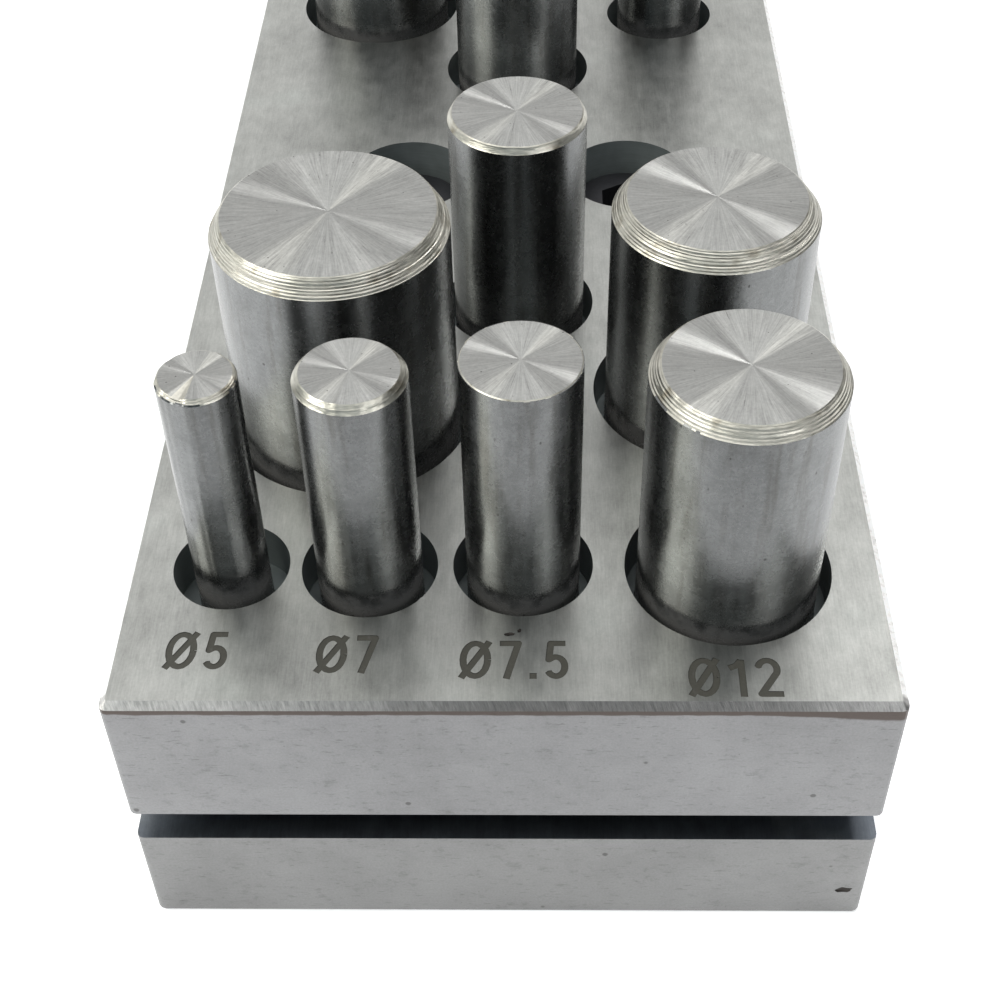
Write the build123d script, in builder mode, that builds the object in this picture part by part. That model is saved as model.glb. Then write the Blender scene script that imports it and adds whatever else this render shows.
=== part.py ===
from build123d import *
import os
from dataclasses import dataclass

# Punch and die block for cutting round discs and holes.
#
# Two ground steel plates are screwed together with a narrow gap between them. A sheet goes into
# the gap, a round punch goes down through the upper plate, which guides it, and a blow on the
# punch shears a disc out of the sheet against the edge of the matching hole in the lower plate.
# Put away, every punch stands in its own hole with its cutting end on the bench.
#
# Millimetres. The origin is the middle of the block's underside, +X goes across the block,
# +Y goes from its front end to its rear end and +Z points up.

os.makedirs("parts", exist_ok=True)

# ---------------------------------------------------------------- driving dimensions

# Block
block_width = 50.0
block_length = 116.0
guide_plate_thickness = 11.5
die_plate_thickness = 9.3
sheet_gap = 2.8
top_edge_break = 0.45
corner_break = 0.5
base_edge_break = 0.4

# Holes for the punches: radial clearances, and the depth of the wider entry
guide_clearance = 0.05
die_clearance = 0.04
entry_depth = 3.5

# Clamp screws, M5 socket head, each way from a point beside the block's middle
screw_pair_across = 0.6
screw_spacing = 18.6
screw_thread = 5.0
thread_engagement = 5.2
thread_clearance = 0.05
screw_tip_edge = 0.6
screw_head_diameter = 8.5
screw_head_height = 5.0
screw_head_edge = 0.5
screw_socket_width = 4.0
screw_socket_depth = 2.5
screw_shank_room = 0.25
screw_head_room = 0.85
screw_head_sunk = 2.5

# Spacer rings around the clamp screws, which set the gap
spacer_diameter = 10.0
spacer_bore_room = 0.15
spacer_edge = 0.3

# Dowel pins that line the plates up, placed from the block's sides
dowel_inset = 6.0
dowel_diameter = 4.0
dowel_clearance = 0.02
dowel_into_guide_plate = 6.2
dowel_end_room = 0.8
dowel_above_base = 0.8
dowel_edge = 0.4


@dataclass(frozen=True)
class Station:
    """A punch and its holes, placed from the end of the block that it is nearer to."""

    name: str
    size: float
    across: float
    inset: float
    proud: float
    ledge: float
    bevel: float
    bevel_drop: float
    end: int

    @property
    def centre(self):
        """The middle of the holes, on the block."""
        return (self.across, self.end * (block_length / 2 - self.inset))


FRONT = -1
REAR = 1

# Each row gives: the punch's name, its diameter, place across from the centreline, inset from
# the end of the block, height of its top above the block, width of the ledge between entry and
# guide bore, width of the bevel round its top, the bevel's drop, and the end of the block
stations = [
    Station("punch_dia_5", 5.0, -18.1, 11.85, 16.6, 1.38, 0.19, 0.38, FRONT),
    Station("punch_dia_7", 7.0, -8.9, 11.8, 16.9, 1.02, 0.4, 0.52, FRONT),
    Station("punch_dia_7_5", 7.5, 1.25, 12.0, 17.5, 0.88, 0.06, 0.06, FRONT),
    Station("punch_dia_12", 12.0, 14.75, 11.7, 17.3, 0.8, 0.68, 0.9, FRONT),
    Station("punch_dia_16", 16.0, -11.5, 27.5, 17.3, 0.95, 0.8, 1.25, FRONT),
    Station("punch_dia_14", 14.0, 14.2, 29.6, 16.8, 0.85, 0.93, 1.2, FRONT),
    Station("punch_dia_10", 10.0, 0.8, 40.3, 16.9, 0.75, 0.28, 0.5, FRONT),
    Station("punch_dia_11", 11.0, 0.4, 40.2, 17.0, 1.0, 0.4, 0.6, REAR),
    Station("punch_dia_13", 13.0, -13.1, 28.0, 17.0, 1.0, 0.7, 0.9, REAR),
    Station("punch_dia_8", 8.0, 14.1, 30.2, 17.0, 1.0, 0.3, 0.4, REAR),
    Station("punch_dia_3", 3.0, -18.1, 11.8, 16.8, 1.2, 0.12, 0.2, REAR),
    Station("punch_dia_4", 4.0, -8.9, 11.8, 16.8, 1.2, 0.15, 0.3, REAR),
    Station("punch_dia_6", 6.0, 1.25, 11.8, 17.0, 1.0, 0.3, 0.4, REAR),
    Station("punch_dia_9", 9.0, 14.75, 11.8, 17.0, 0.9, 0.35, 0.5, REAR),
]

# Heights and places that follow from the sizes above
guide_plate_bottom = die_plate_thickness + sheet_gap
block_height = guide_plate_bottom + guide_plate_thickness
screw_seat = block_height - screw_head_height - screw_head_sunk
screw_length = screw_seat - die_plate_thickness + thread_engagement
dowel_offset = block_width / 2 - dowel_inset
dowel_top = guide_plate_bottom + dowel_into_guide_plate
sides = {"left": -1, "right": 1}


def screw_place(side):
    """The middle of a clamp screw, seen from above."""
    return (screw_pair_across + side * screw_spacing / 2, 0)


def upright(centre, height=0.0):
    """A plane with X across and Y up, through a point, for the half outlines of turned pieces."""
    return Plane(origin=(*centre, height), x_dir=(1, 0, 0), z_dir=(0, -1, 0))


# ---------------------------------------------------------------- the two plates

with BuildPart() as upper_guide_plate:
    with BuildSketch(Plane.XY.offset(guide_plate_bottom)):
        Rectangle(block_width, block_length)
    extrude(amount=guide_plate_thickness)
    chamfer(upper_guide_plate.edges().filter_by(Axis.Z), length=corner_break)
    chamfer(upper_guide_plate.faces().sort_by(Axis.Z)[-1].edges(), length=top_edge_break)

    # A close guide bore for each punch, under an entry that is wider by the ledge
    for station in stations:
        with Locations((*station.centre, block_height)):
            CounterBoreHole(
                radius=station.size / 2 + guide_clearance,
                counter_bore_radius=station.size / 2 + station.ledge,
                counter_bore_depth=entry_depth,
            )

    for side in sides.values():
        with Locations((*screw_place(side), block_height)):
            CounterBoreHole(
                radius=screw_thread / 2 + screw_shank_room,
                counter_bore_radius=screw_head_diameter / 2 + screw_head_room,
                counter_bore_depth=screw_head_height + screw_head_sunk,
            )
        # Blind hole for the dowel, drilled upwards from the gap
        with Locations(Location((side * dowel_offset, 0, guide_plate_bottom), (180, 0, 0))):
            Hole(
                radius=dowel_diameter / 2 + dowel_clearance,
                depth=dowel_into_guide_plate + dowel_end_room,
            )

upper_guide_plate.part.label = "upper_guide_plate"
export_step(upper_guide_plate.part, "parts/upper_guide_plate.step")

with BuildPart() as lower_die_plate:
    with BuildSketch(Plane.XY):
        Rectangle(block_width, block_length)
    extrude(amount=die_plate_thickness)
    chamfer(lower_die_plate.edges().filter_by(Axis.Z), length=corner_break)
    chamfer(lower_die_plate.faces().sort_by(Axis.Z)[0].edges(), length=base_edge_break)

    # Die holes, sharp at the top so that they shear the sheet
    for station in stations:
        with Locations((*station.centre, die_plate_thickness)):
            Hole(radius=station.size / 2 + die_clearance)

    for side in sides.values():
        # The tapped hole is drawn at the thread's outer diameter
        with Locations((*screw_place(side), die_plate_thickness)):
            Hole(radius=screw_thread / 2 + thread_clearance)
        with Locations((side * dowel_offset, 0, die_plate_thickness)):
            Hole(radius=dowel_diameter / 2 + dowel_clearance)

lower_die_plate.part.label = "lower_die_plate"
export_step(lower_die_plate.part, "parts/lower_die_plate.step")

# ---------------------------------------------------------------- what holds the plates together

for side_name, side in sides.items():
    screw_centre = screw_place(side)
    dowel_centre = (side * dowel_offset, 0)

    with BuildPart() as clamp_screw:
        with BuildSketch(upright(screw_centre, screw_seat)):
            with BuildLine():
                Polyline(
                    (0, -screw_length),
                    (screw_thread / 2 - screw_tip_edge, -screw_length),
                    (screw_thread / 2, screw_tip_edge - screw_length),
                    (screw_thread / 2, 0),
                    (screw_head_diameter / 2, 0),
                    (screw_head_diameter / 2, screw_head_height - screw_head_edge),
                    (screw_head_diameter / 2 - screw_head_edge, screw_head_height),
                    (0, screw_head_height),
                    close=True,
                )
            make_face()
        revolve(axis=Axis((*screw_centre, 0), (0, 0, 1)))
        with BuildSketch(Plane.XY.offset(screw_seat + screw_head_height)):
            with Locations(screw_centre):
                RegularPolygon(radius=screw_socket_width / 2, side_count=6, major_radius=False)
        extrude(amount=-screw_socket_depth, mode=Mode.SUBTRACT)
    clamp_screw.part.label = f"clamp_screw_{side_name}"
    export_step(clamp_screw.part, f"parts/clamp_screw_{side_name}.step")

    with BuildPart() as spacer_ring:
        with BuildSketch(Plane.XY.offset(die_plate_thickness)):
            with Locations(screw_centre):
                Circle(spacer_diameter / 2)
                Circle(screw_thread / 2 + spacer_bore_room, mode=Mode.SUBTRACT)
        extrude(amount=sheet_gap)
        outer_wall = spacer_ring.faces().filter_by(GeomType.CYLINDER).sort_by(SortBy.RADIUS)[-1]
        chamfer(outer_wall.edges().filter_by(GeomType.CIRCLE), length=spacer_edge)
    spacer_ring.part.label = f"spacer_ring_{side_name}"
    export_step(spacer_ring.part, f"parts/spacer_ring_{side_name}.step")

    with BuildPart() as dowel_pin:
        with BuildSketch(Plane.XY.offset(dowel_above_base)):
            with Locations(dowel_centre):
                Circle(dowel_diameter / 2)
        extrude(amount=dowel_top - dowel_above_base)
        chamfer(dowel_pin.edges().filter_by(GeomType.CIRCLE), length=dowel_edge)
    dowel_pin.part.label = f"dowel_pin_{side_name}"
    export_step(dowel_pin.part, f"parts/dowel_pin_{side_name}.step")

# ---------------------------------------------------------------- the punches

for station in stations:
    radius = station.size / 2
    length = block_height + station.proud
    with BuildPart() as punch:
        with BuildSketch(upright(station.centre)):
            with BuildLine():
                Polyline(
                    (0, 0),
                    (radius, 0),
                    (radius, length - station.bevel_drop),
                    (radius - station.bevel, length),
                    (0, length),
                    close=True,
                )
            make_face()
        revolve(axis=Axis((*station.centre, 0), (0, 0, 1)))
    punch.part.label = station.name
    export_step(punch.part, f"parts/{station.name}.step")
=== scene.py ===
"""Looks of a punch and die block: ground plates, loose punches and what holds the plates."""

import logging
import math
import random
from dataclasses import dataclass
from enum import Enum
from functools import cache

import bmesh
import bpy
from mathutils import Matrix, Vector, geometry, noise


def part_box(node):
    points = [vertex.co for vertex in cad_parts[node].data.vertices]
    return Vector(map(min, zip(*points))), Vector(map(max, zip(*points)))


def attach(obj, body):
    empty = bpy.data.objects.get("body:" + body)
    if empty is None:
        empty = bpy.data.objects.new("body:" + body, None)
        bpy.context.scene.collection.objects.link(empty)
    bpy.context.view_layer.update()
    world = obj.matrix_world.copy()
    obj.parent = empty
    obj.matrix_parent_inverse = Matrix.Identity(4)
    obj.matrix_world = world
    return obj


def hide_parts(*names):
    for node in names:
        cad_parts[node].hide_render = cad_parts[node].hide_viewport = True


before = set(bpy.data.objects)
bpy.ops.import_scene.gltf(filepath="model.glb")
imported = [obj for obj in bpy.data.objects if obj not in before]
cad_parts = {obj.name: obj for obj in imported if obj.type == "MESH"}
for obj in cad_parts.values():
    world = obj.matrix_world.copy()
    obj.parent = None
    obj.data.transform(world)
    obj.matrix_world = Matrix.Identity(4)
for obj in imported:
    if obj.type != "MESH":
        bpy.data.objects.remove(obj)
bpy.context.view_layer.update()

MM = 0.001
Colour = tuple[float, float, float, float]
Outline = list[tuple[float, float]]
NOISE_MIDDLE = 0.5
SPECK_CORE = 0.6
TURNING = "turning"
log = logging.getLogger("punch_block")


def grey(level: float, warmth: float = 0.0) -> Colour:
    """A near-neutral metal colour, warmer above zero and bluer below it."""
    return (level * (1 + warmth), level, level * (1 - warmth), 1.0)


# ---------------------------------------------------------------- shader maths


class Join(Enum):
    """How two colours are joined."""

    MIX = "MIX"
    MULTIPLY = "MULTIPLY"


class Value:
    """A number or a vector that varies over a surface."""

    def __init__(self, graph: "Graph", socket: bpy.types.NodeSocket) -> None:
        """Wraps an output socket of one of the graph's nodes."""
        self.graph = graph
        self.socket = socket

    def _maths(self, operation: str, first: object, second: object = 0.0) -> "Value":
        """Adds one maths node, which is a vector one when either side is a vector.

        Args:
            operation: The node's operation.
            first: The first value, as a Value or a number.
            second: The second value, as a Value, a number or three numbers.

        Returns:
            The node's result.
        """
        sides = (first, second)
        if any(isinstance(side, Value) and side.socket.type == "VECTOR" for side in sides):
            spread = [(side,) * 3 if isinstance(side, (int, float)) else side for side in sides]
            sockets = {"Vector": spread[0], "Vector_001": spread[1]}
            return self.graph.add("ShaderNodeVectorMath", {"operation": operation}, sockets)
        sockets = {"Value": first, "Value_001": second}
        return self.graph.add("ShaderNodeMath", {"operation": operation}, sockets)

    def __add__(self, other: object) -> "Value":
        """This value plus another."""
        return self._maths("ADD", self, other)

    def __sub__(self, other: object) -> "Value":
        """This value less another."""
        return self._maths("SUBTRACT", self, other)

    def __rsub__(self, other: object) -> "Value":
        """Another value less this one."""
        return self._maths("SUBTRACT", other, self)

    def __mul__(self, other: object) -> "Value":
        """This value times another."""
        return self._maths("MULTIPLY", self, other)

    def __truediv__(self, other: object) -> "Value":
        """This value divided by another."""
        return self._maths("DIVIDE", self, other)

    __radd__ = __add__
    __rmul__ = __mul__

    def swing(self, amount: float) -> "Value":
        """How far this noise is from its middle, times an amount."""
        return (self - NOISE_MIDDLE) * amount

    def step(self, low: float, high: float) -> "Value":
        """A mask that runs smoothly from 0 at low to 1 at high, whichever of them is greater."""
        turned_round = low > high
        sockets = {"Value": self, "From Min": min(low, high), "From Max": max(low, high)}
        mask = self.graph.add("ShaderNodeMapRange", {"interpolation_type": "SMOOTHSTEP"}, sockets)
        return 1 - mask if turned_round else mask

    def band(self, level: float, edges: tuple[float, float, float, float]) -> "Value":
        """A soft-edged mask about a level: where it is 0 and 1 above, then 0 and 1 below."""
        top = self.step(level + edges[0], level + edges[1])
        return top * self.step(level + edges[2], level + edges[3])

    def part(self, axis: str) -> "Value":
        """One of a vector's three parts, X, Y or Z."""
        return self.graph.add("ShaderNodeSeparateXYZ", {}, {"Vector": self}, axis)

    def direction(self) -> "Value":
        """A vector's direction, as a vector of length 1."""
        return self.graph.add("ShaderNodeVectorMath", {"operation": "NORMALIZE"}, {"Vector": self})


class Graph:
    """The nodes of one material, or of the world."""

    def __init__(self, owner: bpy.types.Material | bpy.types.World) -> None:
        """Starts an empty graph for a material or for the world."""
        self.owner = owner
        owner.use_nodes = True
        self.tree = owner.node_tree
        self.tree.nodes.clear()

    def add(
        self, kind: str, settings: dict[str, object], sockets: dict[str, object], output: str = ""
    ) -> Value:
        """Adds a node.

        Args:
            kind: The node's type.
            settings: Its own settings, where "stops" are a ramp's places and colours.
            sockets: A value or a link for each input, by the socket's identifier.
            output: The output's identifier, or nothing for the first one.

        Returns:
            The output.
        """
        node = self.tree.nodes.new(kind)
        for name, setting in settings.items():
            if name == "stops":
                self._set_stops(node, setting)
            else:
                setattr(node, name, setting)
        for name, given in sockets.items():
            socket = next(s for s in node.inputs if s.identifier == name)
            if isinstance(given, Value):
                self.tree.links.new(given.socket, socket)
            else:
                socket.default_value = given
        outputs = [s for s in node.outputs if s.identifier == output] or node.outputs[:1]
        return Value(self, outputs[0] if outputs else None)

    @staticmethod
    def _set_stops(node: bpy.types.Node, stops: list[tuple[float, Colour]]) -> None:
        """Gives a ramp its places and colours."""
        elements = node.color_ramp.elements
        while len(elements) < len(stops):
            elements.new(0.5)
        for element, (place, colour) in zip(elements, stops):
            element.position = place
            element.color = colour

    def place(self) -> Value:
        """The place on the surface in millimetres, in the block's own frame."""
        return self.add("ShaderNodeTexCoord", {}, {}, "Object") * (1 / MM)

    def turning(self) -> Value:
        """The place on a turned piece in millimetres, measured from its own axis."""
        return self.add("ShaderNodeAttribute", {"attribute_name": TURNING}, {}, "Vector")

    def noise(self, place: Value, scale: float, detail: float = 2.0, rough: float = 0.5) -> Value:
        """Smooth noise about 0.5.

        Args:
            place: Where it is read.
            scale: How many lumps there are for each unit of place.
            detail: How many finer layers it has.
            rough: How strong the finer layers are.

        Returns:
            The noise.
        """
        sockets = {"Vector": place, "Scale": scale, "Detail": detail, "Roughness": rough}
        return self.add("ShaderNodeTexNoise", {}, sockets)

    def specks(self, place: Value, scale: float, size: float, share: float) -> Value:
        """Small round marks scattered over a surface.

        Args:
            place: Where they are read.
            scale: How many cells there are for each unit of place.
            size: A mark's radius as a share of its cell.
            share: The share of the cells that have a mark.

        Returns:
            A mask, 1 on a mark.
        """
        sockets = {"Vector": place, "Scale": scale}
        reach = self.add("ShaderNodeTexVoronoi", {}, sockets, "Distance")
        shade = self.add("ShaderNodeTexVoronoi", {}, sockets, "Color")
        return reach.step(size, size * SPECK_CORE) * shade.part("X").step(share + 0.01, share)

    def join(self, share: object, first: object, second: object, how: Join = Join.MIX) -> Value:
        """Lays a share of the second colour on the first."""
        settings = {"data_type": "RGBA", "blend_type": how.value}
        sockets = {"Factor_Float": share, "A_Color": first, "B_Color": second}
        return self.add("ShaderNodeMix", settings, sockets, "Result_Color")

    def shade(self, amount: Value, colour: object) -> Value:
        """A colour made lighter or darker by a factor that varies."""
        tone = self.add("ShaderNodeCombineXYZ", {}, {"X": amount, "Y": amount, "Z": amount})
        return self.join(1.0, colour, tone, Join.MULTIPLY)

    def bump(self, height: Value, depth: float) -> Value:
        """The normal of relief from a height of 0 to 1 and a depth in millimetres."""
        sockets = {"Strength": 1.0, "Distance": depth * MM, "Height": height}
        return self.add("ShaderNodeBump", {}, sockets)

    def surface(self, colour: object, roughness: object, **others: object) -> bpy.types.Material:
        """Ends the material in a shader.

        Args:
            colour: The base colour.
            roughness: The roughness.
            others: Other sockets of the shader, with an underline for each space.

        Returns:
            The material.
        """
        sockets = {"Base Color": colour, "Roughness": roughness}
        sockets |= {name.replace("_", " "): given for name, given in others.items()}
        shader = self.add("ShaderNodeBsdfPrincipled", {}, sockets)
        self.add("ShaderNodeOutputMaterial", {"is_active_output": True}, {"Surface": shader})
        return self.owner


# ---------------------------------------------------------------- finishes


@dataclass(frozen=True)
class Finish:
    """How a surface looks.

    Attributes:
        name: The material's name.
        colour: Its base colour.
        roughness: How rough it is.
    """

    name: str
    colour: Colour
    roughness: float

    @cache
    def material(self) -> bpy.types.Material:
        """Makes the material the first time that it is asked for."""
        return self.paint(Graph(bpy.data.materials.new(self.name)))

    def paint(self, graph: Graph) -> bpy.types.Material:
        """Lays out the nodes of the material."""
        raise NotImplementedError


@dataclass(frozen=True)
class GroundFace(Finish):
    """A face ground flat, with fine grain along Y, soft clouds and a few tiny nicks."""

    grain: float = 0.32
    cloud: float = 0.5
    depth: float = 0.002

    def paint(self, graph: Graph) -> bpy.types.Material:
        """Lays out the nodes of the material."""
        place = graph.place()
        grain = graph.noise(place * (7.0, 0.3, 1.0), 1.0, 3.0, 0.65)
        fine = graph.noise(place * (15.0, 1.5, 6.0), 1.0, 3.0)
        cloud = graph.noise(place, 0.13, 3.0)
        patch = graph.noise(place * (1.0, 0.6, 1.0), 0.9, 3.0, 0.6)
        nicks = graph.specks(place, 0.35, 0.035, 0.35)
        grit = graph.noise(place, 5.0, 3.0, 0.7)
        tone = 1.0 + grain.swing(self.grain) + fine.swing(self.grain) + grit.swing(self.grain)
        tone = tone + cloud.swing(self.cloud) + patch.swing(self.cloud)
        base = graph.join(cloud.step(0.55, 0.75) * 0.35, self.colour, GREEN_CAST)
        colour = graph.shade(tone, base)
        roughness = self.roughness + patch.swing(0.1) + grain.swing(0.05)
        relief = grain * 0.5 + fine * 0.3 + grit * 0.2 - nicks
        return graph.surface(colour, roughness, Metallic=1.0, Normal=graph.bump(relief, self.depth))


@dataclass(frozen=True)
class PlateSide(Finish):
    """A plate's upright side: matt and mottled, with pits and faint scratches.

    Attributes:
        painted_shadow_line: Whether a painted shadow runs as a dark line under its top edge,
            towards the front.
    """

    painted_shadow_line: bool

    def paint(self, graph: Graph) -> bpy.types.Material:
        """Lays out the nodes of the material."""
        place = graph.place()
        mottle = graph.noise(place, 0.5, 4.0, 0.6)
        cloud = graph.noise(place + (3.0, 7.0, 1.0), 0.1, 2.0)
        grain = graph.noise(place * (0.5, 0.5, 9.0), 1.0, 3.0, 0.6)
        pits = graph.specks(place, 0.45, 0.11, 0.16)
        fine_pits = graph.specks(place + (2.0, 5.0, 9.0), 1.6, 0.10, 0.12)
        scratch = graph.noise(place * (1.2, 1.2, 6.0) + (0.0, 0.0, 31.0), 1.0, 1.0).step(0.66, 0.74)
        smear = graph.noise(place * (1.0, 1.0, 1.6) + (9.0, 4.0, 0.0), 0.9, 4.0, 0.7)
        smear = smear.step(0.56, 0.7)
        grit = graph.noise(place, 6.0, 3.0, 0.7)
        tone = 1.0 + mottle.swing(0.4) + cloud.swing(0.4) + grain.swing(0.12) + grit.swing(0.5)
        tone = tone - scratch * 0.2 - smear * 0.15
        colour = graph.shade(tone, self.colour)
        colour = graph.join(pits * 0.6 + fine_pits * 0.4, colour, PIT)
        # Painted shadow: a dark line under the top edge's break, towards the front and wider at the
        # right end, stands in for the shade under the edge.
        if self.painted_shadow_line:
            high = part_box("upper_guide_plate")[1] / MM
            shadow_top = high.z - TOP_EDGE_BREAK
            wobble = graph.noise(place * (1.0, 1.0, 0.0), 0.6, 2.0)
            right_flare = place.part("X").step(high.x - 9.0, high.x) * 0.5
            reach = 0.28 + wobble * 0.24 + right_flare
            line = ((place.part("Z") - shadow_top) / reach).step(-1.15, -0.85)
            front = place.part("Y").step(10.0, -40.0)
            colour = graph.join(line * front * 0.85, colour, EDGE_SHADOW)
        roughness = self.roughness + mottle.swing(0.14)
        relief = mottle * 0.5 + grain * 0.5 - pits
        return graph.surface(colour, roughness, Metallic=1.0, Normal=graph.bump(relief, 0.012))


@dataclass(frozen=True)
class FiledEdge(Finish):
    """An edge broken with a file: bright, rough, with slanting scratches, and with painted shade
    along its front run, darkest in the middle.
    """

    def paint(self, graph: Graph) -> bpy.types.Material:
        """Lays out the nodes of the material."""
        place = graph.place()
        slant = {"Vector": place, "Rotation": (0.0, math.radians(38.0), math.radians(12.0))}
        along = graph.add("ShaderNodeMapping", {}, slant)
        scratch = graph.noise(along * (9.0, 1.2, 1.2), 1.0, 3.0, 0.7)
        patch = graph.noise(place, 0.7, 3.0)
        # Painted shade: the front run of the edge is darkened, least at its left end, most in the
        # middle and less again at the right end, for how light falls on it.
        front = place.part("Y").step(-56.8, -57.2)
        across = place.part("X")
        painted_shade_across = across.step(-24.0, 2.0) * 0.55 - across.step(16.0, 24.0) * 0.25
        tone = (0.2 + scratch * 1.5 + patch * 0.5) * (1.0 - front * (0.42 + painted_shade_across * 0.7))
        colour = graph.shade(tone, self.colour)
        roughness = self.roughness + scratch.swing(0.3)
        relief = graph.bump(scratch + patch, 0.03)
        return graph.surface(colour, roughness, Metallic=1.0, Normal=relief)


@dataclass(frozen=True)
class BoreWall(Finish):
    """The dark, oily inside of a hole, with faint tool marks around it."""

    def paint(self, graph: Graph) -> bpy.types.Material:
        """Lays out the nodes of the material."""
        place = graph.place()
        rings = graph.noise(place * (0.3, 0.3, 12.0), 1.0, 2.0, 0.6)
        cloud = graph.noise(place, 0.8, 2.0)
        colour = graph.shade(0.7 + rings * 0.3 + cloud * 0.3, self.colour)
        roughness = self.roughness + cloud.swing(0.2)
        return graph.surface(colour, roughness, Metallic=0.5, Normal=graph.bump(rings, 0.01))


@dataclass(frozen=True)
class EtchedMark(Finish):
    """The grey floor of a shallow etched mark."""

    def paint(self, graph: Graph) -> bpy.types.Material:
        """Lays out the nodes of the material."""
        place = graph.place()
        speckle = graph.noise(place, 6.0, 3.0, 0.7)
        wear = graph.noise(place * (1.0, 0.5, 1.0), 1.4, 3.0, 0.6)
        colour = graph.shade(0.7 + speckle * 0.6, self.colour)
        colour = graph.join(wear.step(0.62, 0.85) * 0.35, colour, grey(0.25))
        return graph.surface(colour, self.roughness, Metallic=0.1, Normal=graph.bump(speckle, 0.02))


@dataclass(frozen=True)
class PunchSide(Finish):
    """A punch's ground side: upright stains, pits, scars, a dusty band at the plate's top and
    painted shade about it.
    """

    stain: Colour

    def paint(self, graph: Graph) -> bpy.types.Material:
        """Lays out the nodes of the material."""
        place = graph.turning()
        rings = graph.noise(place * (0.4, 0.4, 14.0), 1.0, 2.0, 0.6)
        mottle = graph.noise(place, 0.8, 4.0, 0.62)
        fine = graph.noise(place, 4.0, 3.0, 0.6)
        streak = graph.noise(place * (1.1, 1.1, 0.12), 1.0, 3.0, 0.6)
        pits = graph.specks(place, 0.9, 0.11, 0.14)
        grit = graph.noise(place * (1.0, 1.0, 0.6), 9.0, 2.0, 0.6)
        tone = 1.0 + mottle.swing(0.55) + fine.swing(0.5) + grit.swing(0.3) + rings.swing(0.12)
        colour = graph.join(streak.step(0.45, 0.75) * 0.7, self.colour, self.stain)
        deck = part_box("upper_guide_plate")[1].z / MM
        height = graph.place().part("Z") + mottle * 3.0
        # Painted shade: the side is darkened in a band about the plate's top, where the punch goes
        # into its hole.
        painted_shade = height.band(deck, SHADE_BAND)
        tone = tone * (1.0 - painted_shade * 0.5)
        dusty = height.band(deck, DUST_BAND) * 0.75
        scarred = graph.noise(place, 0.2, 1.0).step(0.54, 0.62)
        scars = graph.specks(place * (1.0, 1.0, 0.55), 1.9, 0.17, 0.3) * scarred
        colour = graph.join(dusty, graph.shade(tone, colour), DUST)
        colour = graph.join(pits * 0.75 + scars * 0.7, colour, PIT)
        roughness = self.roughness + mottle.swing(0.1) + fine.swing(0.06)
        relief = graph.bump(mottle * 0.3 + fine * 0.3 + grit * 0.2 - pits - scars, 0.004)
        return graph.surface(colour, roughness, Metallic=1.0 - dusty, Normal=relief)


@dataclass(frozen=True)
class TurnedFace(Finish):
    """A punch's flat end: faced on a lathe, so it gathers light into two bright wings."""

    anisotropy: float
    rotation: float

    def paint(self, graph: Graph) -> bpy.types.Material:
        """Lays out the nodes of the material."""
        place = graph.turning()
        flat = place * (1.0, 1.0, 0.0)
        spoke = flat.direction()
        seed = place * (0.0, 0.0, 0.37)
        rays = graph.noise(spoke * 11.0 + flat * 0.12 + seed, 1.0, 4.0, 0.8)
        fine_rays = graph.noise(spoke * 46.0 + flat * 0.5 + seed, 1.0, 3.0, 0.7)
        cloud = graph.noise(flat + seed, 0.6, 4.0, 0.65)
        grit = graph.noise(flat + seed, 5.0, 3.0, 0.7)
        speck = graph.specks(flat + seed, 1.7, 0.11, 0.3)
        tone = 1.0 + rays.swing(0.8) + fine_rays.swing(1.1) + cloud.swing(0.25) + grit.swing(0.45)
        colour = graph.join(speck * 0.65, graph.shade(tone, self.colour), PIT)
        roughness = self.roughness + rays.swing(0.25) + fine_rays.swing(0.2)
        lathe = {"Anisotropic": self.anisotropy, "Anisotropic_Rotation": self.rotation}
        return graph.surface(colour, roughness, Metallic=1.0, **lathe)


@dataclass(frozen=True)
class TurnedBevel(Finish):
    """The stepped bevel around a punch's top: bright and straw-coloured, brown in places."""

    stain: Colour

    def paint(self, graph: Graph) -> bpy.types.Material:
        """Lays out the nodes of the material."""
        place = graph.turning()
        patch = graph.noise(place, 0.55, 3.0, 0.6)
        fine = graph.noise(place * (1.5, 1.5, 9.0), 1.0, 3.0, 0.65)
        colour = graph.join(patch.step(0.54, 0.74) * 0.9, self.colour, self.stain)
        colour = graph.shade(0.35 + fine * 0.9 + patch * 0.4, colour)
        roughness = self.roughness + fine.swing(0.3)
        return graph.surface(colour, roughness, Metallic=1.0, Normal=graph.bump(fine, 0.03))


@dataclass(frozen=True)
class PlainSteel(Finish):
    """Small hardware: an even steel with fine mottling."""

    metallic: float = 1.0

    def paint(self, graph: Graph) -> bpy.types.Material:
        """Lays out the nodes of the material."""
        place = graph.place()
        mottle = graph.noise(place, 1.2, 4.0, 0.6)
        fine = graph.noise(place * (1.0, 1.0, 5.0), 2.0, 2.0)
        colour = graph.shade(0.8 + mottle * 0.25 + fine * 0.15, self.colour)
        roughness = self.roughness + mottle.swing(0.2)
        relief = graph.bump(mottle + fine, 0.01)
        return graph.surface(colour, roughness, Metallic=self.metallic, Normal=relief)


# The edges of the painted shade band on a punch's side, about the plate's top; DUST_BAND holds
# those of its real dust.
SHADE_BAND = (7.5, 1.5, -6.0, -3.0)
DUST_BAND = (3.2, 1.0, -3.0, -0.5)
PIT = grey(0.05, 0.05)
DUST = grey(0.19, 0.03)
# The colour of the painted shadow under the guide plate's top edge.
EDGE_SHADOW = (0.075, 0.055, 0.045, 1.0)
GREEN_CAST = (0.40, 0.425, 0.40, 1.0)
TOP_EDGE_BREAK = 0.45

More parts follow.
